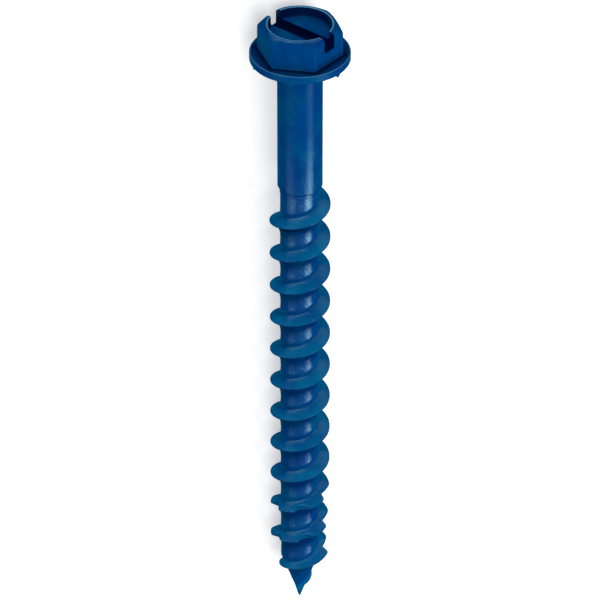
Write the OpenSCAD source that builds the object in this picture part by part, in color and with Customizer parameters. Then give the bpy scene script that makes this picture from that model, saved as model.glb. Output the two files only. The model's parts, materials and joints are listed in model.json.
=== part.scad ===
// Concrete screw: one cold-formed piece with an indented and slotted hex washer head, a plain
// shank and a coarse right-hand thread that is notched near its point.
// It lies on its side, on the rim of the washer and the last full crest of the thread.

/* [Head] */
// Hexagon across its flats
hex_across = 7.75; // [7:0.05:9]
// Height of the hexagon above the washer
hex_height = 3.24; // [2.6:0.02:5]
// Slope of the chamfer round the top of the hexagon, in degrees
chamfer_slope = 30; // [15:1:40]
// Thickness of the rim wall at the middle of a flat
rim_wall = 0.56; // [0.4:0.02:1]
// Flat land on top of the rim wall
rim_land = 0.26; // [0.15:0.01:0.35]
// Depth of the round recess in the top
recess_depth = 1.0; // [0.5:0.05:1.4]
// Bevel round the floor of the recess
recess_bevel = 0.25; // [0.1:0.05:0.4]
// Width of the drive slot
slot_width = 1.58; // [1:0.02:2.2]
// Depth of the drive slot below the rim
slot_depth = 1.75; // [1.5:0.05:2.6]
// Direction of the slot round the axis, in degrees
slot_turn = -39.75; // [-90:0.25:90]

/* [Washer] */
// Diameter of the washer
washer_diameter = 10.44; // [9.6:0.02:14]
// Thickness of the washer
washer_thickness = 0.82; // [0.6:0.02:1.6]
// Rounding of the washer's edges
washer_edge = 0.12; // [0.05:0.01:0.25]
// Fillet between the washer and the shank
under_fillet = 0.4; // [0.2:0.05:0.6]
// Height of each locking nib under the washer
nib_height = 0.42; // [0.2:0.02:0.6]
// Width of each nib where it joins the washer
nib_width = 0.95; // [0.5:0.05:1.4]
// Length of each nib, inwards from the edge
nib_length = 1.5; // [0.8:0.1:1.8]

/* [Shank] */
// Length from under the washer to the point
length = 69.85; // [50:0.05:120]
// Diameter of the plain shank
shank_diameter = 4.72; // [4.5:0.02:5.6]
// Length of the plain shank
shank_length = 15.6; // [8:0.1:30]
// Length of the cone from the shank down to the neck
step_length = 0.5; // [0.3:0.05:1.5]
// Diameter of the blank, left bare at the neck and as a low ridge between the threads
neck_diameter = 4.2; // [4.1:0.02:4.4]

/* [Thread] */
// Diameter over the crests
thread_diameter = 6.44; // [5.6:0.02:7.4]
// Diameter at the root
root_diameter = 3.98; // [3.4:0.02:4.08]
// Axial distance from crest to crest
pitch = 4.1; // [3.4:0.01:5.5]
// Width of the flat crest
crest_width = 0.12; // [0.06:0.01:0.3]
// Angle of each flank from square to the axis, in degrees
flank_angle = 18; // [10:1:25]
// Distance from the upper flank to the low ridge
ridge_gap = 0.65; // [0.3:0.05:0.9]
// Axial length over which the thread fades out below the shank
runout = 1.0; // [0.5:0.1:3]

/* [Point] */
// Half angle of the point, in degrees
point_angle = 19; // [14:0.5:26]
// Half angle of the crests' taper towards the point, in degrees
taper_angle = 26; // [22:0.5:36]
// Bare length of the point below the end of the thread
bare_point = 0.6; // [0.3:0.1:1.5]
// Direction in which the thread ends, in degrees
thread_end_turn = 166; // [0:1:360]
// Number of notches in the crest
notch_count = 11; // [3:1:24]
// Angle from one notch to the next, in degrees
notch_spacing = 70; // [50:5:90]
// Angle from the end of the thread to the middle of the lowest notch's floor, in degrees
notch_start = 553; // [300:1:900]
// Angle that a notch takes at its floor, in degrees
notch_floor = 12; // [6:2:20]
// Angle taken by a notch's steep wall, on the side towards the point, in degrees
notch_steep = 8; // [4:2:20]
// Angle taken by a notch's slanted wall, in degrees
notch_slant = 20; // [4:2:30]
// Distance from the axis to the floor of a notch
notch_radius = 2.5; // [2.2:0.05:2.9]

/* [Rest] */
// Turn about its own axis at which the lying screw rests, in degrees
rest_roll = -16.3; // [-30:0.1:30]

/* [Hidden] */
round_sides = 96;
hex_sides = 6;
coat_blue = "#0a4c85";

// Head sizes that follow from the flats
hex_radius = hex_across / 2 / cos(180 / hex_sides);
recess_radius = hex_across / 2 - rim_wall;
rim_radius = recess_radius + rim_land;
head_height = washer_thickness + hex_height;
washer_radius = washer_diameter / 2;
// The nibs end just inside the washer's rounded edge
nib_inset = 0.04;
nib_radius = washer_radius - washer_edge - nib_inset;
shank_radius = shank_diameter / 2;
// Length by which a cut or a joined end passes the face that it meets
cut_past = 0.5;

// Thread stations, counted from the end at the point
stations_per_turn = 72;
station_step = 360 / stations_per_turn;
neck_radius = neck_diameter / 2;
root_radius = root_diameter / 2;
crest_radius = thread_diameter / 2;
neck_z = -(shank_length + step_length);
// Narrow ledge at the foot of the step, outside the blank
step_ledge = 0.04;
thread_end_z = bare_point - length;
thread_end_radius = bare_point * tan(point_angle);
// Width of the small blend at the foot of a flank
foot_blend = 0.05;
// The thread's grid is carried one turn up inside the shank
hidden_turn = pitch + 0.3;
top_station = ceil((neck_z + hidden_turn - thread_end_z) / pitch * stations_per_turn);
axis_cap_z = neck_z + 2 * hidden_turn;
profile_points = 5;

// Lying on the washer's rim and the last full crest that faces down
down_turn = 90 - rest_roll;
taper_length = (crest_radius - thread_end_radius) / tan(taper_angle);
down_start = (down_turn - thread_end_turn) / 360;
down_turns = ceil(taper_length / pitch - down_start);
rest_crest_z = thread_end_z + (down_turns + down_start) * pitch;
rest_tilt = atan((washer_radius - crest_radius) / (washer_edge - rest_crest_z));
rest_height = (washer_radius - washer_edge) * cos(rest_tilt) + washer_edge * (1 - sin(rest_tilt));
head_end_x = -head_height * cos(rest_tilt) - rim_radius * sin(rest_tilt);
point_end_x = length * cos(rest_tilt);

// Share of the full thread height at a station, falling to none at the neck
function fade(s) = max(0, min(1, (neck_z - crest_z(s)) / runout));
function crest_z(s) = thread_end_z + pitch * s / stations_per_turn;
function point_limit(r, z) = min(r, (z + length) * tan(point_angle));
function foot_radius(s) = neck_radius - (neck_radius - root_radius) * fade(s);
function taper_radius(z) = thread_end_radius + (z - thread_end_z) * tan(taper_angle);
function full_crest(s) =
    let (foot = point_limit(foot_radius(s), crest_z(s)))
    foot + fade(s) * max(0, min(crest_radius, taper_radius(crest_z(s))) - foot);
// Share of the notch depth at a station
function notch_share(s) =
    let (along = s * station_step - notch_start)
    let (nearest = max(0, min(notch_count - 1, round(along / notch_spacing))))
    let (off = along - nearest * notch_spacing)
    let (wall = off < 0 ? notch_steep : notch_slant)
    max(0, min(1, (notch_floor / 2 + wall - abs(off)) / wall));
function notched_crest(s) =
    full_crest(s) - notch_share(s) * max(0, full_crest(s) - notch_radius);
function polar(turn, r, z) = [r * cos(turn), r * sin(turn), z];

// The thread's profile at one station, from the lower flank's foot up to the ridge above it
function station_profile(s) =
    let (turn = thread_end_turn + s * station_step)
    let (z = crest_z(s))
    let (crest = notched_crest(s))
    let (half_crest = crest_width / 2 + (full_crest(s) - crest) * tan(flank_angle))
    let (height = full_crest(s) - point_limit(foot_radius(s), z))
    let (half_foot = crest_width / 2 + foot_blend + height * tan(flank_angle))
    let (ridge_z = z + half_foot + ridge_gap)
    [
        polar(turn, point_limit(foot_radius(s), z - half_foot), z - half_foot),
        polar(turn, crest, z - half_crest),
        polar(turn, crest, z + half_crest),
        polar(turn, point_limit(foot_radius(s), z + half_foot), z + half_foot),
        polar(turn, point_limit(neck_radius, ridge_z), ridge_z)
    ];

function at(s, q) = s * profile_points + q;

// Round-edged disc, with its lower face at z = 0
module washer() {
    rotate_extrude($fn = round_sides) {
        square([washer_radius - washer_edge, washer_thickness]);
        translate([0, washer_edge])
            square([washer_radius, washer_thickness - 2 * washer_edge]);
        for (y = [washer_edge, washer_thickness - washer_edge])
            translate([washer_radius - washer_edge, y])
                circle(r = washer_edge, $fn = 32);
    }
}

// Radial ridge under the washer, highest at the edge and running out inwards
module nib() {
    slope = atan(nib_height / nib_length);
    tall = nib_height + washer_thickness / 3;
    half = nib_width / 2 * tall / nib_height;
    intersection() {
        translate([nib_radius - nib_length, 0, 0])
            rotate([0, slope, 0])
                rotate([90, 0, 90])
                    linear_extrude(2 * nib_length)
                        polygon([[0, 0], [half, tall], [-half, tall]]);
        translate([0, 0, -2 * nib_height])
            cylinder(r = nib_radius, h = 2 * nib_height + washer_thickness / 2, $fn = round_sides);
    }
}

// Hexagon with its corners chamfered by a cone
module chamfered_hex() {
    drop = (hex_radius + cut_past - rim_radius) * tan(chamfer_slope);
    intersection() {
        rotate([0, 0, slot_turn + 180 / hex_sides])
            cylinder(r = hex_radius, h = head_height, $fn = hex_sides);
        union() {
            cylinder(r = hex_radius + cut_past, h = head_height - drop, $fn = round_sides);
            translate([0, 0, head_height - drop])
                cylinder(r1 = hex_radius + cut_past, r2 = rim_radius, h = drop, $fn = round_sides);
        }
    }
}

// Round recess in the top, with a bevel round its floor
module recess() {
    translate([0, 0, head_height - recess_depth]) {
        cylinder(r1 = recess_radius - recess_bevel, r2 = recess_radius, h = recess_bevel, $fn = round_sides);
        translate([0, 0, recess_bevel])
            cylinder(r = recess_radius, h = recess_depth, $fn = round_sides);
    }
}

module drive_slot() {
    slot_length = 2 * (hex_radius + cut_past);
    rotate([0, 0, slot_turn])
        translate([-slot_length / 2, -slot_width / 2, head_height - slot_depth])
            cube([slot_length, slot_width, slot_depth + cut_past]);
}

module head() {
    difference() {
        union() {
            washer();
            chamfered_hex();
        }
        recess();
        drive_slot();
    }
    for (i = [0 : hex_sides - 1])
        rotate([0, 0, slot_turn + i * 360 / hex_sides])
            nib();
}

// Plain shank with its fillet under the washer and the step down to the neck
module shank() {
    translate([0, 0, -shank_length])
        cylinder(r = shank_radius, h = shank_length + washer_thickness / 2, $fn = round_sides);
    translate([0, 0, neck_z])
        cylinder(r1 = neck_radius + step_ledge, r2 = shank_radius, h = step_length, $fn = round_sides);
    rotate_extrude($fn = round_sides)
        difference() {
            translate([0, -under_fillet])
                square([shank_radius + under_fillet, under_fillet + washer_thickness / 2]);
            translate([shank_radius + under_fillet, -under_fillet])
                circle(r = under_fillet, $fn = 48);
        }
}

// Core, thread and point as one skin along the helix
module threaded_end() {
    tip = at(top_station, profile_points - 1) + 1;
    cap = tip + 1;
    turn = stations_per_turn;
    last = profile_points - 1;
    points = [
        for (s = [0 : top_station])
            each station_profile(s),
        [0, 0, -length],
        [0, 0, axis_cap_z]
    ];
    flanks = [
        for (s = [0 : top_station - 1], q = [0 : last - 1])
            each [
                [at(s, q), at(s, q + 1), at(s + 1, q + 1)],
                [at(s, q), at(s + 1, q + 1), at(s + 1, q)]
            ]
    ];
    roots = [
        for (s = [0 : top_station - turn - 1])
            each [
                [at(s, last), at(s + turn, 0), at(s + turn + 1, 0)],
                [at(s, last), at(s + turn + 1, 0), at(s + 1, last)]
            ]
    ];
    // The point closes on the lowest turn, and its last side meets the thread's end
    point_sides = [for (s = [0 : turn - 2]) [at(s, 0), at(s + 1, 0), tip]];
    point_seam = [
        [at(turn - 1, 0), at(turn, 0), at(0, last)],
        for (q = [last : -1 : 1])
            [at(turn - 1, 0), at(0, q), at(0, q - 1)],
        [at(turn - 1, 0), at(0, 0), tip]
    ];
    // The other end closes on the axis, inside the shank
    cap_sides = [
        for (s = [top_station - turn : top_station - 1])
            [at(s + 1, last), at(s, last), cap]
    ];
    cap_seam = [
        [at(top_station - turn, last), at(top_station, 0), cap],
        for (q = [0 : last - 1])
            [at(top_station, q), at(top_station, q + 1), cap]
    ];
    polyhedron(points, concat(flanks, roots, point_sides, point_seam, cap_sides, cap_seam), convexity = 20);
}

// Lays the upright screw on its side, with the washer and the last full crest on z = 0
module at_rest() {
    translate([-(head_end_x + point_end_x) / 2, 0, rest_height])
        rotate([0, rest_tilt, 0])
            rotate([-90, 0, 90])
                rotate([0, 0, rest_roll])
                    children();
}

module concrete_screw() {
    color(coat_blue)
        at_rest() {
            head();
            shank();
            threaded_end();
        }
}

concrete_screw();
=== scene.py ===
import json
import math
import bpy
import numpy as np
from mathutils import Matrix, Vector


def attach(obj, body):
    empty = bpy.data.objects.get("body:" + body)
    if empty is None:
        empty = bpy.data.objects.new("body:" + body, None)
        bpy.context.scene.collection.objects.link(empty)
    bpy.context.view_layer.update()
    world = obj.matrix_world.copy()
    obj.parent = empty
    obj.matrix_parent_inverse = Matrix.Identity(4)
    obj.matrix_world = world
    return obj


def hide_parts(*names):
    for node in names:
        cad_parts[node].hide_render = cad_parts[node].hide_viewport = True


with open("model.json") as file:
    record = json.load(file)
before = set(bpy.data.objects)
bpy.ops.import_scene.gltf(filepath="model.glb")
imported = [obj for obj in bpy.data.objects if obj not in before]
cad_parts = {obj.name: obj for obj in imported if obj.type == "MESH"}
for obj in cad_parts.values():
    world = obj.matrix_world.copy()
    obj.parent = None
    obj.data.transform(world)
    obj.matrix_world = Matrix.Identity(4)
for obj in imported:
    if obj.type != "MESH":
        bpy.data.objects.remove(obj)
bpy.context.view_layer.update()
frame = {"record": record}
mounts = {m["name"]: m for m in frame["record"]["mounts"]}
scene = bpy.context.scene
print("frame loaded")


# small tools
def linear(code):
    # sRGB hex to a linear colour
    parts = [int(code[i:i + 2], 16) / 255 for i in (1, 3, 5)]
    return [c / 12.92 if c <= 0.04045 else ((c + 0.055) / 1.055) ** 2.4 for c in parts] + [1.0]


def addNode(tree, kind, sockets=None, **settings):
    # one node: settings are its options, and a socket takes a value or a (node, output) link
    node = tree.nodes.new(kind)
    for name, value in settings.items():
        setattr(node, name, value)
    for socket, value in (sockets or {}).items():
        if isinstance(value, tuple) and isinstance(value[0], bpy.types.Node):
            tree.links.new(value[0].outputs[value[1]], node.inputs[socket])
        else:
            node.inputs[socket].default_value = value
    return node


def newMaterial(name):
    material = bpy.data.materials.new(name)
    material.use_nodes = True
    material.node_tree.nodes.clear()
    return material


def tan(degrees):
    return math.tan(math.radians(degrees))


def clamp(x, low=0.0, high=1.0):
    return np.minimum(np.maximum(x, low), high)


def smooth(t):
    # eases from 0 to 1 as t does
    t = clamp(t)
    return t * t * (3 - 2 * t)


def softMin(a, b, k):
    # the smaller of two, rounded where they meet
    h = max(k - abs(a - b), 0) / k
    return min(a, b) - h * h * k / 4


def softMax(a, b, k):
    return -softMin(-a, -b, k)


def around(radius, degrees, z):
    angle = math.radians(degrees)
    return radius * math.cos(angle), radius * math.sin(angle), z


def corner(before, at, after, steps):
    # rounded corner between two points, as a quadratic curve
    out = []
    for i in range(steps + 1):
        t = i / steps
        curve = ((1 - t) ** 2 * p + 2 * t * (1 - t) * q + t * t * r for p, q, r in zip(before, at, after))
        out.append(tuple(curve))
    return out


def meshObject(name, points, faces):
    mesh = bpy.data.meshes.new(name)
    mesh.from_pydata(points, [], faces)
    mesh.validate()
    thing = bpy.data.objects.new(name, mesh)
    scene.collection.objects.link(thing)
    return thing


def joined(base, tool, operation):
    # boolean of two closed meshes; both inputs go away
    step = base.modifiers.new("join", "BOOLEAN")
    step.operation = operation
    step.solver = "MANIFOLD"
    step.object = tool
    bpy.context.view_layer.update()
    made = bpy.data.meshes.new_from_object(base.evaluated_get(bpy.context.evaluated_depsgraph_get()))
    out = bpy.data.objects.new(base.name, made)
    scene.collection.objects.link(out)
    for old in (base, tool):
        bpy.data.objects.remove(old)
    return out


def readAll(items, name, width=1, kind=float):
    # one number or vector of every item of a mesh
    out = np.zeros(len(items) * width, kind)
    items.foreach_get(name, out)
    return out.reshape(-1, width) if width > 1 else out


# the screw, in millimetres and degrees, upright, with its bearing face at z = 0
screw = dict(
    hexAcross=7.75, hexHeight=3.24, chamferSlope=30, rimWall=0.56, rimLand=0.26,
    recessDepth=1.0, recessBevel=0.25, slotWidth=1.58, slotDepth=1.75, slotFlare=0.04, slotTurn=-39.75,
    washerDiameter=10.43, washerThickness=0.82, washerEdge=0.12, underFillet=0.4,
    nibHeight=0.42, nibWidth=0.95, nibLength=1.5, nibInset=0.04,
    length=69.85, shankDiameter=4.72, shankLength=15.4, stepLength=0.7, neckDiameter=4.2,
    threadDiameter=6.44, rootDiameter=3.98, pitch=4.1, crestWidth=0.12, flankAngle=18, footSpread=0.05,
    ridgeGap=0.65, ridgeRise=0.455, runout=1.0,
    pointAngle=19, taperAngle=26, barePoint=0.6, threadEndTurn=166,
    notchCount=11, notchSpacing=70, notchStart=553, notchFloor=12, notchSteep=8, notchSlant=20,
    notchRadius=2.5, restRoll=-16.3,
    # roundings left by forming and coating, and how far the painted shade on the washer reaches from the
    # hexagon
    softCorner=0.16, softEdge=0.08, softBrow=0.3, softLand=0.05, softCrest=0.05, footFillet=0.14,
    rootFlare=0.35, flareLength=1.9, flareFade=2.0, shadeReach=1.0, sharpFrom=42,
)
# where the skin has its rings: millimetres from the edge, foot or ridge that they follow, and angles
rings = dict(
    hold=0.06, brow=0.015, least=0.01, neckCover=0.04, overlap=0.3, slotPast=0.5,
    recessFloor=(1.2, 2.4), nibCount=9, stepsPerTurn=144,
    fineStep=0.75, fineTo=6, coarseStep=1.5, coarseTo=26,   # round the hexagon, from the middle of a flat
    nearCorner=(26.8, 27.8, 28.5, 28.9, 29.3, 29.65),
    foot=(0.3, 0.16, 0.06, -0.03), crest=(0.03, 0, -0.035),
    ridge=(-0.22, -0.1, 0, 0.12, 0.35, 0.8), flare=(-1.0, -0.7, -0.45),
)
topZ = screw["washerThickness"]
headHeight = topZ + screw["hexHeight"]
flat = screw["hexAcross"] / 2
recessRadius = flat - screw["rimWall"]
rimRadius = recessRadius + screw["rimLand"]
washerRadius = screw["washerDiameter"] / 2
nibRadius = washerRadius - screw["washerEdge"] - screw["nibInset"]
shankRadius = screw["shankDiameter"] / 2
neckRadius = screw["neckDiameter"] / 2
rootRadius = screw["rootDiameter"] / 2
crestRadius = screw["threadDiameter"] / 2
stepZ = -screw["shankLength"]
neckZ = stepZ - screw["stepLength"]
pitch = screw["pitch"]


# head and shank: rings of one skin, hexagonal where it has to be
def hexRadius(off):
    # hexagon with rounded corners; off is the angle from the middle of a flat
    rounding, off = screw["softCorner"], np.radians(np.abs(off))
    inner = flat - rounding
    centre, fromCorner = inner / math.cos(math.radians(30)), math.radians(30) - off
    bow = np.sqrt(np.maximum(0, rounding ** 2 - (centre * np.sin(fromCorner)) ** 2))
    onFlat = off <= math.atan2(inner * tan(30), flat)
    return np.where(onFlat, flat / np.cos(off), centre * np.cos(fromCorner) + bow)


halfSector = [*np.arange(0, rings["fineTo"], rings["fineStep"])]
halfSector += [*np.arange(rings["fineTo"], rings["coarseTo"], rings["coarseStep"]), *rings["nearCorner"]]
sector = [-30] + [-off for off in reversed(halfSector[1:])] + halfSector
directions = [(screw["slotTurn"] + 60 * k, off) for k in range(6) for off in sector]


def nibDepth(r, off):
    # how far a locking nib stands out of the washer's underside
    rise = screw["nibHeight"] * clamp((r - nibRadius + screw["nibLength"]) / screw["nibLength"])
    sideways = abs(r * math.sin(math.radians(off)))
    return max(0, rise - sideways * screw["nibHeight"] / (screw["nibWidth"] / 2))


def headProfile(off):
    # radius and height along the skin, from the recess floor outwards and down to the neck
    soft, land, edge, hold = screw["softEdge"], screw["softLand"], screw["washerEdge"], rings["hold"]
    bevel, fillet, brow = screw["recessBevel"], screw["underFillet"], screw["softBrow"]
    floorZ, slope = headHeight - screw["recessDepth"], tan(screw["chamferSlope"])
    hexEdge = float(hexRadius(off))
    browZ = headHeight - (hexEdge - rimRadius) * slope
    # recess and rim
    line = [(r, floorZ) for r in rings["recessFloor"]] + [(recessRadius - bevel - hold, floorZ)]
    line += corner((recessRadius - bevel, floorZ), (recessRadius, floorZ),
                   (recessRadius, floorZ + bevel), steps=5)
    line += [(recessRadius, floorZ + bevel + hold), (recessRadius, headHeight - land - hold)]
    line += corner((recessRadius, headHeight - land), (recessRadius, headHeight),
                   (recessRadius + land, headHeight), steps=3)
    line += corner((rimRadius - land, headHeight), (rimRadius, headHeight),
                   (rimRadius + land, headHeight - land * slope), steps=2)
    # chamfer, hexagon and washer
    room = hexEdge - rimRadius - land - 2 * rings["brow"]
    run = min(brow * math.cos(math.radians(screw["chamferSlope"])), room)
    line += [(hexEdge - run - rings["brow"], browZ + (run + rings["brow"]) * slope)]
    line += corner((hexEdge - run, browZ + run * slope), (hexEdge, browZ), (hexEdge, browZ - brow), steps=7)
    line += [(hexEdge, browZ - brow - hold), (hexEdge, topZ + soft + hold)]
    line += corner((hexEdge, topZ + soft), (hexEdge, topZ), (hexEdge + soft, topZ), steps=4)
    # a ring where the painted shade on the washer ends
    shadeEnd = min(hexEdge + screw["shadeReach"], washerRadius - edge - 2 * hold)
    line += [(hexEdge + soft + hold, topZ), (shadeEnd, topZ), (washerRadius - edge - hold, topZ)]
    line += corner((washerRadius - edge, topZ), (washerRadius, topZ), (washerRadius, topZ - edge), steps=4)
    line += [(washerRadius, topZ - edge - hold), (washerRadius, edge + hold)]
    line += corner((washerRadius, edge), (washerRadius, 0), (washerRadius - edge, 0), steps=4)
    # nibs, shank and the step down to the neck
    line += [(nibRadius + rings["least"], 0)]
    nibStep = screw["nibLength"] / (rings["nibCount"] - 1)
    nibRings = [nibRadius - nibStep * i for i in range(rings["nibCount"])]
    line += [(r, -nibDepth(r, off)) for r in nibRings]
    line += [(shankRadius + fillet + hold, 0)]
    line += corner((shankRadius + fillet, 0), (shankRadius, 0), (shankRadius, -fillet), steps=6)
    line += [(shankRadius, -fillet - hold), (shankRadius, stepZ / 2), (shankRadius, stepZ + 2 * land)]
    low = neckRadius + rings["neckCover"]
    line += corner((shankRadius, stepZ + land), (shankRadius, stepZ),
                   (shankRadius - land, stepZ - land / 4), steps=3)
    line += corner((low + land, stepZ - land), (low, stepZ - land), (low, stepZ - 2 * land), steps=2)
    return line + [(low, stepZ - 3 * land), (low, stepZ - 6 * land), (low, neckZ)]


def headSkin():
    rows = [headProfile(off) for _, off in directions]
    count, n = len(rows), len(rows[0])
    points = [around(r, base + off, z) for (base, off), row in zip(directions, rows) for r, z in row]
    topMid, lowMid = len(points), len(points) + 1
    points += [(0, 0, rows[0][0][1]), (0, 0, neckZ)]
    faces = []
    for i in range(count):
        here, there = i * n, (i + 1) % count * n
        faces.append((topMid, here, there))
        faces += [(here + q, here + q + 1, there + q + 1, there + q) for q in range(n - 1)]
        faces.append((lowMid, there + n - 1, here + n - 1))
    return meshObject("headSkin", points, faces)


slotAngle = math.radians(screw["slotTurn"])
slotWay = (math.cos(slotAngle), math.sin(slotAngle))


def slotTool():
    # bar that cuts the drive slot, with a rounded floor and a slight flare at the rim
    halfWidth, low, high = screw["slotWidth"] / 2, headHeight - screw["slotDepth"], headHeight
    soft, flare, past = 2 * screw["softEdge"], screw["slotFlare"], rings["slotPast"]
    side = corner((halfWidth - soft, low), (halfWidth, low), (halfWidth, low + soft), steps=4)
    side += [(halfWidth, high - flare), (halfWidth + flare, high), (halfWidth + flare, high + past)]
    shape = side + [(-y, z) for y, z in reversed(side)]
    reach = flat / math.cos(math.radians(30)) + past
    points = [(x * slotWay[0] - y * slotWay[1], x * slotWay[1] + y * slotWay[0], z)
              for x in (-reach, reach) for y, z in shape]
    n = len(shape)
    faces = [tuple(reversed(range(n))), tuple(range(n, 2 * n))]
    faces += [(i, (i + 1) % n, n + (i + 1) % n, n + i) for i in range(n)]
    return meshObject("slotTool", points, faces)


# threaded end: one skin along the helix
threadEndZ = screw["barePoint"] - screw["length"]
threadEndRadius = screw["barePoint"] * tan(screw["pointAngle"])
hiddenTurn = pitch + rings["overlap"]   # runs on inside the shank


def notchShare(turned):
    # 1 on a notch's floor, 0 clear of it; one wall is steep and the other slants
    past = turned - screw["notchStart"]
    nearest = clamp(round(past / screw["notchSpacing"]), 0, screw["notchCount"] - 1)
    off = past - nearest * screw["notchSpacing"]
    wall = screw["notchSteep"] if off < 0 else screw["notchSlant"]
    return clamp((screw["notchFloor"] / 2 + wall - abs(off)) / wall)


def threadProfile(turned):
    # radius and height at one place along the helix, from below a crest up to the next turn
    z = threadEndZ + pitch * turned / 360
    grown = clamp((neckZ - z) / screw["runout"])
    core = neckRadius - (neckRadius - rootRadius) * grown

    def cone(height):
        return max(rings["least"], (height + screw["length"]) * tan(screw["pointAngle"]))

    base = min(core, cone(z))
    taper = threadEndRadius + (z - threadEndZ) * tan(screw["taperAngle"])
    full = base + grown * max(0, min(crestRadius, taper) - base)
    crest = full - notchShare(turned) * max(0, full - screw["notchRadius"])
    halfLand, lean = screw["crestWidth"] / 2, tan(screw["flankAngle"])
    halfCrest = halfLand + (full - crest) * lean
    halfFoot = halfLand + screw["footSpread"] + (full - base) * lean
    ridge = halfFoot + screw["ridgeGap"]
    nextFoot = pitch - halfFoot

    def blank(u):
        # root with the low ridge where the rolled metal stops, flaring out under the next crest
        u = u + pitch if u < -halfFoot else u
        beside = (u - ridge) / (nextFoot - ridge) if u >= ridge else (ridge - u) / screw["ridgeRise"]
        flare = smooth((u - nextFoot + screw["flareLength"]) / screw["flareLength"]) ** 2
        flare *= screw["rootFlare"] * grown * smooth((neckZ - z - u) / screw["flareFade"])
        return core + (neckRadius - core) * (1 - smooth(beside)) + flare

    def skin(u):
        flank = full - max(0, abs(u) - halfLand) * (full - base) / (halfFoot - halfLand)
        tooth = softMin(crest, flank, screw["softCrest"])
        return softMax(min(blank(u), cone(z + u)), tooth, screw["footFillet"])

    rise = [halfFoot + step for step in rings["foot"]] + [(halfFoot + halfCrest) / 2]
    rise = sorted(rise + [halfCrest + step for step in rings["crest"]])
    places = [-u for u in reversed(rise)] + rise + [ridge + step for step in rings["ridge"]]
    places.append((places[-1] + nextFoot - rings["foot"][0]) / 2)
    places += [nextFoot + step for step in rings["flare"]]
    return [(skin(u) if abs(u) < nextFoot else blank(u), z + u) for u in places]


def threadSkin():
    turn = rings["stepsPerTurn"]
    top = math.ceil((neckZ + hiddenTurn - threadEndZ) / pitch * turn)
    rows = [threadProfile(360 * s / turn) for s in range(top + 1)]
    n, last = len(rows[0]), len(rows[0]) - 1
    points = [around(r, screw["threadEndTurn"] + 360 * s / turn, z)
              for s, row in enumerate(rows) for r, z in row]
    tip, cap = len(points), len(points) + 1
    points += [(0, 0, -screw["length"]), (0, 0, neckZ + 2 * hiddenTurn)]

    def at(s, q):
        return s * n + q

    faces = [(at(s, q), at(s, q + 1), at(s + 1, q + 1), at(s + 1, q))
             for s in range(top) for q in range(last)]
    faces += [(at(s, last), at(s + turn, 0), at(s + turn + 1, 0), at(s + 1, last))
              for s in range(top - turn)]
    # the point, and the seam where the thread ends on it
    faces += [(at(s, 0), at(s + 1, 0), tip) for s in range(turn - 1)]
    faces.append((at(turn - 1, 0), at(turn, 0), at(0, last)))
    faces += [(at(turn - 1, 0), at(0, q), at(0, q - 1)) for q in range(last, 0, -1)]
    faces.append((at(turn - 1, 0), at(0, 0), tip))
    # the other end closes inside the shank
    faces += [(at(s + 1, last), at(s, last), cap) for s in range(top - turn, top)]
    faces.append((at(top - turn, last), at(top, 0), cap))
    faces += [(at(top, q), at(top, q + 1), cap) for q in range(last)]
    return meshObject("threadSkin", points, faces)


headPart = joined(headSkin(), slotTool(), "DIFFERENCE")
body = joined(headPart, threadSkin(), "UNION")
body.name = body.data.name = "screwBody"
print("screw built,", len(body.data.polygons), "faces")

# painted light and shade, and gloss, by place: shares from 0 to 1, and millimetres
paintedLightAndGloss = dict(
    near=0.02,
    flankReach=0.56, flankFade=0.15, bareTip=0.4,           # lighter teal flanks, painted light, this far from a crest
    # painted shade in the slot, the recess, on the washer by the hexagon, under the step lip, on the crests
    # and under the next crest
    slotShadeFade=0.6, slotRim=0.3, slotFoot=0.1, slotEnd=0.05, steep=0.5,
    recessShade=0.85, recessReach=0.315, recessFade=0.25, recessTop=0.03, washerShade=1.25,
    stepShade=0.9, lipShade=0.3, lipFrom=0.1, crestShade=0.5, crestFrom=0.1,
    rootShade=0.6, rootFrom=1.8, rootOver=1.2, rootMost=2.6, rootEdge=0.2,   # painted shade under the next crest
    rootBelow=0.8, rootFade=1.5, pointLeast=1.0, pointFade=0.8,
    headSatin=0.1, stepSatin=0.7, satinFrom=-9.5, satinOver=4.5, threadSatin=0.2,
    coneSatin=-0.85, coneLength=3.5, coneFade=2.0, rimSatin=0.1,
    # painted highlights on the rim's inner edge and the washer's upper edge
    rimHighlight=1.0, rimHighlightDepth=0.04, rimHighlightWidth=0.1,
    edgeHighlight=0.35, edgeHighlightDepth=0.03, edgeHighlightHalf=0.035, edgeHighlightWidth=0.13,
)
near = paintedLightAndGloss["near"]


def upPitch(x, y, z):
    # height above the nearest crest below
    polar = np.degrees(np.arctan2(y, x))
    return (z - threadEndZ - pitch * (polar - screw["threadEndTurn"]) / 360) % pitch


def fromCrest(x, y, z):
    above = upPitch(x, y, z)
    return np.minimum(above, pitch - above)


def mark(name, domain, values):
    body.data.attributes.new(name, "FLOAT", domain).data.foreach_set("value", values)


spots = readAll(body.data.vertices, "co", 3)
x, y, z = spots.T
r = np.hypot(x, y)
onThread = (z < neckZ) & (r > paintedLightAndGloss["bareTip"])
mark("flankShare", "POINT", clamp((paintedLightAndGloss["flankReach"] - fromCrest(x, y, z)) / paintedLightAndGloss["flankFade"]) * onThread)
# semi-gloss on the thread, duller towards the head and on the point, bright on the rim and the washer
satin = paintedLightAndGloss["headSatin"] + paintedLightAndGloss["stepSatin"] * smooth((paintedLightAndGloss["satinFrom"] - z) / paintedLightAndGloss["satinOver"])
satin += paintedLightAndGloss["threadSatin"] * (z < neckZ)
satin += paintedLightAndGloss["coneSatin"] * clamp((paintedLightAndGloss["coneLength"] - screw["length"] - z) / paintedLightAndGloss["coneFade"])
satin[(z > headHeight - paintedLightAndGloss["rimSatin"]) | (abs(z - topZ) < near)] = 1
mark("satin", "POINT", satin)
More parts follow.
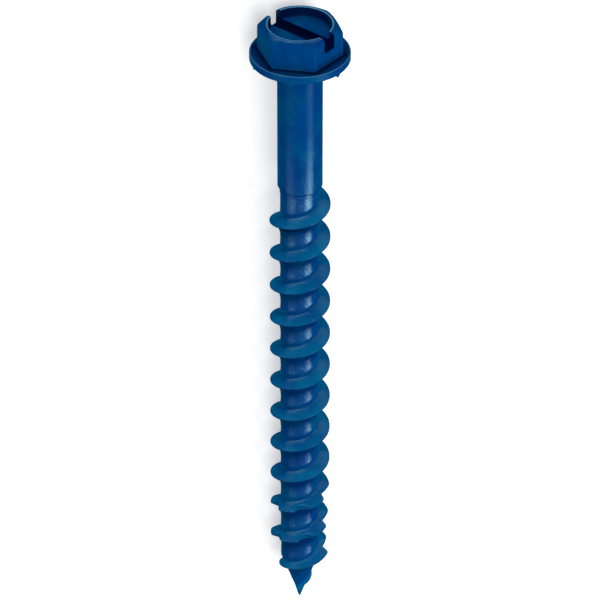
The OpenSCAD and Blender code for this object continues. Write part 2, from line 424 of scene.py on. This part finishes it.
# painted highlight along the inner edge of the rim, and a little along the upper edge of the washer
onRim = (z > headHeight - paintedLightAndGloss["rimHighlightDepth"]) & (r < recessRadius + paintedLightAndGloss["rimHighlightWidth"])
onEdge = abs(z - topZ + paintedLightAndGloss["edgeHighlightDepth"]) < paintedLightAndGloss["edgeHighlightHalf"]
onEdge &= r > washerRadius - paintedLightAndGloss["edgeHighlightWidth"]
mark("rubbed", "POINT", paintedLightAndGloss["rimHighlight"] * onRim + paintedLightAndGloss["edgeHighlight"] * onEdge)

# painted shade in the slot, the recess, on the washer by the hexagon, under the step lip, on the crests
# and under the next crest: told face by face, so that it stops at an edge
faceMid = readAll(body.data.polygons, "center", 3).T
faceWay = readAll(body.data.polygons, "normal", 3).T
faceR = np.hypot(faceMid[0], faceMid[1])
inSlot = abs(faceMid[1] * slotWay[0] - faceMid[0] * slotWay[1]) < screw["slotWidth"] / 2 + near
inSlot &= (faceMid[2] > topZ + paintedLightAndGloss["slotFoot"]) & (faceMid[2] < headHeight - near)
endWall = abs(faceWay[0] * slotWay[0] + faceWay[1] * slotWay[1]) > paintedLightAndGloss["steep"]   # the hexagon's own side
endWall &= (abs(faceWay[2]) < paintedLightAndGloss["steep"]) & (faceR > flat - paintedLightAndGloss["slotEnd"])
inSlot &= ~endWall
onCrest = (fromCrest(*faceMid) < screw["crestWidth"] / 2) & (faceR > rootRadius + paintedLightAndGloss["crestFrom"])
faceOf = np.repeat(np.arange(len(faceR)), readAll(body.data.polygons, "loop_total", kind=np.int32))
x, y, z = spots[readAll(body.data.loops, "vertex_index", kind=np.int32)].T
r = np.hypot(x, y)
fromFlat = (np.degrees(np.arctan2(y, x)) - screw["slotTurn"] + 30) % 60 - 30
inRecess = (z > topZ + near) & (r < recessRadius + near) & (z < headHeight - paintedLightAndGloss["recessTop"])
underStep = (z > stepZ - 4 * screw["softLand"]) & (z < stepZ - rings["least"])
# painted shade under the next crest, less towards the neck and the point
shadeUnderCrest = paintedLightAndGloss["rootShade"] * smooth((upPitch(x, y, z) - paintedLightAndGloss["rootFrom"]) / paintedLightAndGloss["rootOver"])
shadeUnderCrest *= smooth((paintedLightAndGloss["rootMost"] - r) / paintedLightAndGloss["rootEdge"])
shadeUnderCrest *= smooth((neckZ - paintedLightAndGloss["rootBelow"] - z) / paintedLightAndGloss["rootFade"])
shadeUnderCrest *= smooth((r - paintedLightAndGloss["pointLeast"]) / paintedLightAndGloss["pointFade"])
shadeByPlace = [   # the first that fits holds
    (inSlot[faceOf], 1 - paintedLightAndGloss["slotShadeFade"] * smooth((z - headHeight) / paintedLightAndGloss["slotRim"] + 1)),
    (inRecess, paintedLightAndGloss["recessShade"] * smooth((r - recessRadius + paintedLightAndGloss["recessReach"]) / paintedLightAndGloss["recessFade"])),
    (z > topZ + near, 0),
    (z > topZ - near, smooth(paintedLightAndGloss["washerShade"] - (r - hexRadius(fromFlat)) / screw["shadeReach"])),
    (underStep, np.where(r < neckRadius + paintedLightAndGloss["lipFrom"], paintedLightAndGloss["stepShade"], paintedLightAndGloss["lipShade"])),
    (z >= neckZ, 0),
    (onCrest[faceOf], paintedLightAndGloss["crestShade"]),
]
mark("pooled", "CORNER", np.select([where for where, _ in shadeByPlace], [share for _, share in shadeByPlace], shadeUnderCrest))
print("wear marked")

# laid down as the frame has it: the axis runs through two of the mounts, and the roll is about it
drive = Vector(mounts["hex_drive"]["pos_m"])
headWard = (drive - Vector(mounts["thread"]["pos_m"])).normalized()
bearing = drive - headWard * (topZ + screw["hexHeight"] / 2) / 1000
across = Vector((0, 1, 0))
roll = math.radians(screw["restRoll"])
right = across * math.cos(roll) + headWard.cross(across) * math.sin(roll)
back = headWard.cross(right)
front = -back
lay = Matrix((right, back, headWard)).transposed().to_4x4()
lay.translation = bearing
body.data.transform(lay @ Matrix.Scale(0.001, 4))
body.data.shade_smooth()
body.data.set_sharp_from_angle(angle=math.radians(screw["sharpFrom"]))
print("screw laid down")

# Baked resin coat, dyed blue, sprayed on tumbling zinc-plated screws. It dries semi-gloss with a faint
# orange peel. Its colour carries painted shade in corners and under the crests, painted highlights on raised
# edges, and a lighter teal on the flanks as painted light. The dye takes the red out of its shine, most
# where it is dull, and leaves a teal bloom at low angles.
coat = dict(
    shades=[(0.3, "#003678"), (0.52, "#003f7c"), (0.72, "#004c7a")],
    # the flank shades are a lighter teal blue: painted light
    flankLitShades=[(0.35, "#005692"), (0.65, "#006c9e")],
    # the first colour here is painted shade, the second a painted highlight for the rim and the washer's
    # edge
    pool="#000a38", edge="#5090bc",
    dullShine="#00c4e0", brightShine="#9adcec", shineFrom=0.3, shineTo=0.8,
    ior=1.6, roughness=0.26, roughSpread=0.1,
    gloss=1.0, glossFrom=0.14, glossTo=0.36,   # gloss fades out between these slants
    shadeDull=0.8, flankDull=0.7,
    bloom="#007868", bloomShare=1.0, bloomSpread=0.3,
    cloudMm=2.6, cloudDetail=3, cloudRough=0.55,
    peelMm=0.22, peelDepth=0.03, peelDetail=2,   # peel and nicks are as coarse as they need to show
    nickMm=0.16, nickLongMm=1.1, nickDepth=0.012, nickDetail=1, nickFrom=0.64, nickTo=0.72,
)
bakedResin = newMaterial("bakedResinCoat")
tree = bakedResin.node_tree
place = addNode(tree, "ShaderNodeTexCoord")
inMm = addNode(tree, "ShaderNodeVectorMath", {"Vector": (place, "Object"), "Scale": 1000}, operation="SCALE")
flanks, shadeShare, highlightShare, satined = (addNode(tree, "ShaderNodeAttribute", attribute_name=name)
                                for name in ("flankShare", "pooled", "rubbed", "satin"))
# colour: uneven blue, a lighter teal on the flanks as painted light, painted shade in corners and under
# crests, painted highlights on edges
cloud = addNode(tree, "ShaderNodeTexNoise", {
    "Vector": (inMm, "Vector"), "Scale": 1 / coat["cloudMm"],
    "Detail": coat["cloudDetail"], "Roughness": coat["cloudRough"]})
blue = addNode(tree, "ShaderNodeValToRGB", {"Fac": (cloud, "Fac")})
flankLitBlue = addNode(tree, "ShaderNodeValToRGB", {"Fac": (cloud, "Fac")})
for ramp, stops in ((blue.color_ramp, coat["shades"]), (flankLitBlue.color_ramp, coat["flankLitShades"])):
    for position, _ in stops[1:-1]:
        ramp.elements.new(position)
    for stop, (position, colour) in zip(ramp.elements, stops):
        stop.position, stop.color = position, linear(colour)
# the flanks take the lighter teal blue, painted light
dyed = addNode(tree, "ShaderNodeMix", {
    0: (flanks, "Fac"), 6: (blue, "Color"), 7: (flankLitBlue, "Color")}, data_type="RGBA")
# painted shade mixed in
pooled = addNode(tree, "ShaderNodeMix", {
    0: (shadeShare, "Fac"), 6: (dyed, 2), 7: linear(coat["pool"])}, data_type="RGBA")
# painted highlight mixed in on the edges
highlighted = addNode(tree, "ShaderNodeMix", {
    0: (highlightShare, "Fac"), 6: (pooled, 2), 7: linear(coat["edge"])}, data_type="RGBA")
# relief: orange peel where it shines, and fine nicks that run round the screw
peel = addNode(tree, "ShaderNodeTexNoise", {
    "Vector": (inMm, "Vector"), "Scale": 1 / coat["peelMm"], "Detail": coat["peelDetail"]})
stretched = addNode(tree, "ShaderNodeVectorMath", {
    0: (inMm, "Vector"), 1: (coat["nickMm"], coat["nickLongMm"], coat["nickLongMm"])}, operation="DIVIDE")
scuffs = addNode(tree, "ShaderNodeTexNoise", {
    "Vector": (stretched, "Vector"), "Scale": 1.0, "Detail": coat["nickDetail"]})
nicks = addNode(tree, "ShaderNodeMapRange", {
    "Value": (scuffs, "Fac"), "From Min": coat["nickFrom"], "From Max": coat["nickTo"],
    "To Max": -coat["nickDepth"] / coat["peelDepth"]})
relief = addNode(tree, "ShaderNodeMath", {
    0: (peel, "Fac"), 1: (satined, "Fac"), 2: (nicks, "Result")}, operation="MULTIPLY_ADD")
bumps = addNode(tree, "ShaderNodeBump", {
    "Height": (relief, "Value"), "Strength": 1.0, "Distance": coat["peelDepth"] / 1000})
rough = addNode(tree, "ShaderNodeMapRange", {
    "Value": (cloud, "Fac"), "To Min": coat["roughness"] - coat["roughSpread"] / 2,
    "To Max": coat["roughness"] + coat["roughSpread"] / 2})
# shine: by slant, times the satin, less where shade is painted and on the flanks
slant = addNode(tree, "ShaderNodeLayerWeight", {"Blend": 0.5})
shine = addNode(tree, "ShaderNodeMapRange", {
    "Value": (slant, "Facing"), "From Min": coat["glossFrom"], "From Max": coat["glossTo"],
    "To Min": coat["gloss"], "To Max": 0.0}), "Result"
lessInShade = addNode(tree, "ShaderNodeMath", {
    0: -coat["shadeDull"], 1: (shadeShare, "Fac"), 2: 1.0}, operation="MULTIPLY_ADD"), "Value"
lessFlank = addNode(tree, "ShaderNodeMath", {
    0: -coat["flankDull"], 1: (flanks, "Fac"), 2: 1.0}, operation="MULTIPLY_ADD"), "Value"
for share in ((satined, "Fac"), lessInShade, lessFlank):
    shine = addNode(tree, "ShaderNodeMath", {0: shine, 1: share}, operation="MULTIPLY"), "Value"
brightness = addNode(tree, "ShaderNodeMapRange", {
    "Value": (satined, "Fac"), "From Min": coat["shineFrom"], "From Max": coat["shineTo"]})
shineTint = addNode(tree, "ShaderNodeMix", {
    0: (brightness, "Result"), 6: linear(coat["dullShine"]), 7: linear(coat["brightShine"])},
    data_type="RGBA")
surface = addNode(tree, "ShaderNodeBsdfPrincipled", {
    "Base Color": (highlighted, 2), "Roughness": (rough, "Result"), "Normal": (bumps, "Normal"),
    "IOR": coat["ior"], "Specular IOR Level": shine, "Specular Tint": (shineTint, 2),
    "Sheen Weight": coat["bloomShare"], "Sheen Roughness": coat["bloomSpread"],
    "Sheen Tint": linear(coat["bloom"])})
addNode(tree, "ShaderNodeOutputMaterial", {"Surface": (surface, "BSDF")})
body.data.materials.clear()
body.data.materials.append(bakedResin)
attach(body, "root")
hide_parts("concrete_screw")
print("coat made")

# Matt paper floor: pressed fibre with no gloss, so it only takes light and shadow. It is lifted to white
# for what looks at it, and keeps the shadow.
stage = dict(floorSize=3.0, floorColour="#e6e6e6", lift=0.45)
side = stage["floorSize"] / 2
floorCorners = [(-side, -side, 0), (side, -side, 0), (side, side, 0), (-side, side, 0)]
floor = meshObject("studioFloor", floorCorners, [(0, 1, 2, 3)])
paper = newMaterial("mattPaper")
tree = paper.node_tree
ray = addNode(tree, "ShaderNodeLightPath")
mirrored = addNode(tree, "ShaderNodeMath", {
    0: (ray, "Is Glossy Ray"), 1: (ray, "Is Transmission Ray")}, operation="ADD")
seen = addNode(tree, "ShaderNodeMath", {
    0: (ray, "Is Camera Ray"), 1: (mirrored, "Value")}, operation="ADD")
lift = addNode(tree, "ShaderNodeMath", {0: (seen, "Value"), 1: stage["lift"]}, operation="MULTIPLY")
matt = addNode(tree, "ShaderNodeBsdfDiffuse", {"Color": linear(stage["floorColour"])})
glow = addNode(tree, "ShaderNodeEmission", {"Strength": (lift, "Value")})
both = addNode(tree, "ShaderNodeAddShader", {0: (matt, "BSDF"), 1: (glow, "Emission")})
addNode(tree, "ShaderNodeOutputMaterial", {"Surface": (both, "Shader")})
floor.data.materials.append(paper)

# studio: a faint sky, and soft boxes that face the screw. The two narrow ones towards the point give its
# glints. Each has its direction as (front, right, head), its distance, width and height, and its watts.
studio = dict(
    sky="#f4f6fa", skyStrength=0.05,
    panels=dict(
        rightPanel=((0.59, 0.69, -0.42), 0.5, 0.16, 0.35, 1.6),
        leftPanel=((0.64, -0.68, -0.4), 0.5, 0.1, 0.3, 0.27),
        headRight=((0.35, 0.7, 0.6), 0.6, 0.35, 0.35, 0.5),
        headPanel=((0.4, -0.4, 0.82), 0.6, 0.5, 0.3, 1.0),
        topPanel=((0.95, 0.2, 0.17), 0.8, 0.5, 0.5, 3.6),
    ),
)
# the camera looks from the head's side, lifted off square to the axis; aimBelow is from the bearing face
view = dict(lift=34.6, distance=0.487, lens=276, sensor=36, nearest=0.01, farthest=20, aimBelow=0.030086)
aim = bearing - headWard * view["aimBelow"]   # the middle of the picture, on the axis


def putInScene(name, data, location, rotation):
    thing = bpy.data.objects.new(name, data)
    scene.collection.objects.link(thing)
    thing.location = location
    thing.rotation_mode = "QUATERNION"
    thing.rotation_quaternion = rotation
    return thing


sky = bpy.data.worlds.new("softSky")
sky.use_nodes = True
sky.node_tree.nodes["Background"].inputs["Color"].default_value = linear(studio["sky"])
sky.node_tree.nodes["Background"].inputs["Strength"].default_value = studio["skyStrength"]
scene.world = sky
for name, (toward, distance, width, height, watts) in studio["panels"].items():
    lamp = bpy.data.lights.new(name, "AREA")
    lamp.shape = "RECTANGLE"
    lamp.size, lamp.size_y, lamp.energy = width, height, watts
    way = (front * toward[0] + right * toward[1] + headWard * toward[2]).normalized()
    putInScene(name, lamp, aim + way * distance, way.to_track_quat("Z", "Y"))
print("stage made")

camera = bpy.data.cameras.new("photoCamera")
camera.lens, camera.sensor_width = view["lens"], view["sensor"]
camera.clip_start, camera.clip_end = view["nearest"], view["farthest"]
lifted = math.radians(view["lift"])
away = front * math.cos(lifted) + headWard * math.sin(lifted)
upward = headWard * math.cos(lifted) - front * math.sin(lifted)
turned = Matrix((right, upward, away)).transposed().to_quaternion()
scene.camera = putInScene("photoCamera", camera, aim + away * view["distance"], turned)
scene.view_settings.view_transform = "Standard"
print("camera set")
